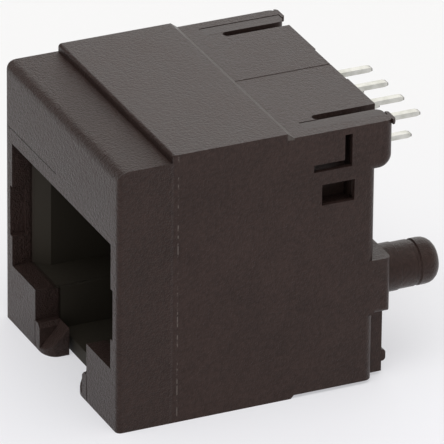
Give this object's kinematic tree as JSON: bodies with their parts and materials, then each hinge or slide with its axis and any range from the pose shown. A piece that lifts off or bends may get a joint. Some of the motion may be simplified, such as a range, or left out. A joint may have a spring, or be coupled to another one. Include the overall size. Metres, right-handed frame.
{
  "type": "rj45 board jack",
  "caption": "Top-entry modular jack for a circuit board, with a moulded housing, a latch slot, sprung contacts, solder tails and board pegs.",
  "frame": {"origin": "centre of the footprint box, on the plane of the latch side that the jack lies on", "axes": "-Y out of the mouth, +Y to the circuit board, +Z to the contact side, +X to the right as seen when facing the mouth"},
  "size_m": [0.0154, 0.0198, 0.0162],
  "materials": {
    "housing_plastic": "moulded black-brown plastic with a fine spark-eroded grain",
    "carrier_plastic": "moulded black-brown plastic, a little smoother than the housing",
    "contact_metal": "stamped strip with satin tin plating"
  },
  "bodies": {
    "root": {"housing": "housing_plastic", "contact_carrier": "carrier_plastic", "contact_1": "contact_metal", "contact_2": "contact_metal", "contact_3": "contact_metal", "contact_4": "contact_metal", "contact_5": "contact_metal", "contact_6": "contact_metal", "contact_7": "contact_metal", "contact_8": "contact_metal"}
  },
  "joints": []
}
